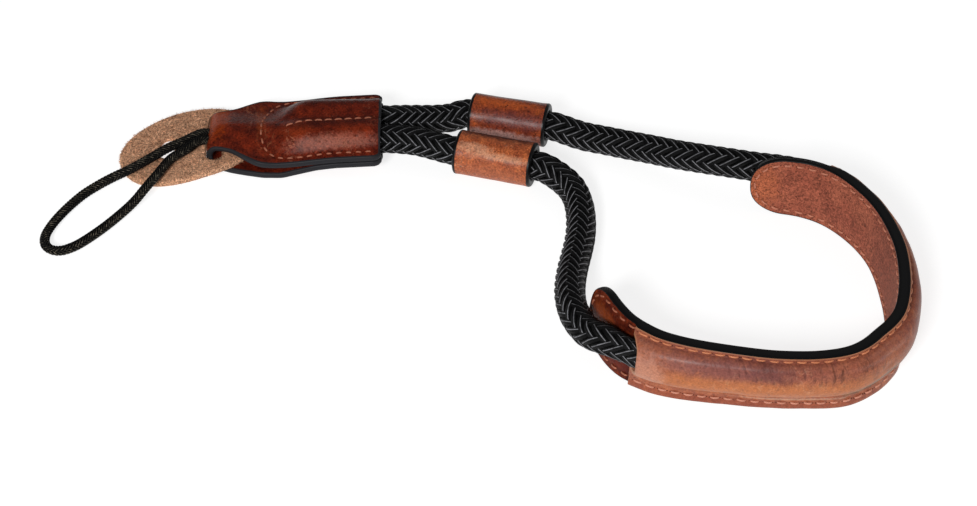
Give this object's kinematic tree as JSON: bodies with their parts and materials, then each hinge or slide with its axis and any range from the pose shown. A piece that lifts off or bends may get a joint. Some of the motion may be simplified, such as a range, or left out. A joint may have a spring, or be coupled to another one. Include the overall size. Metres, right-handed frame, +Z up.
{
  "type": "camera wrist strap",
  "caption": "Leather and braided rope camera wrist strap with two leather sliders, a folded connector, an oval guard pad and a thin cord loop.",
  "frame": {"origin": "middle of the strap's footprint on the surface that it lies on, without the free rope and the cord loop", "axes": "+X along the strap from the cord loop to the wrist band, +Y across it towards the side of the far slider, +Z up"},
  "size_m": [0.2396, 0.124, 0.02],
  "materials": {
    "suede_lining": "suede",
    "leather_dark": "waxed gloss",
    "leather_cognac": "satin",
    "leather_slider": "satin",
    "suede_tan": "suede",
    "rope_black": "braided",
    "cord_black": "fine braid"
  },
  "bodies": {
    "root": {"band_lining": "suede_lining", "band_strip": "leather_dark", "band_cover": "leather_cognac", "rope_in_band": "rope_black", "rope_far": "rope_black", "rope_near": "rope_black", "slider_far": "leather_slider", "slider_near": "leather_slider", "connector": "leather_dark", "guard_pad": "suede_tan", "tether_loop": "cord_black"}
  },
  "joints": []
}
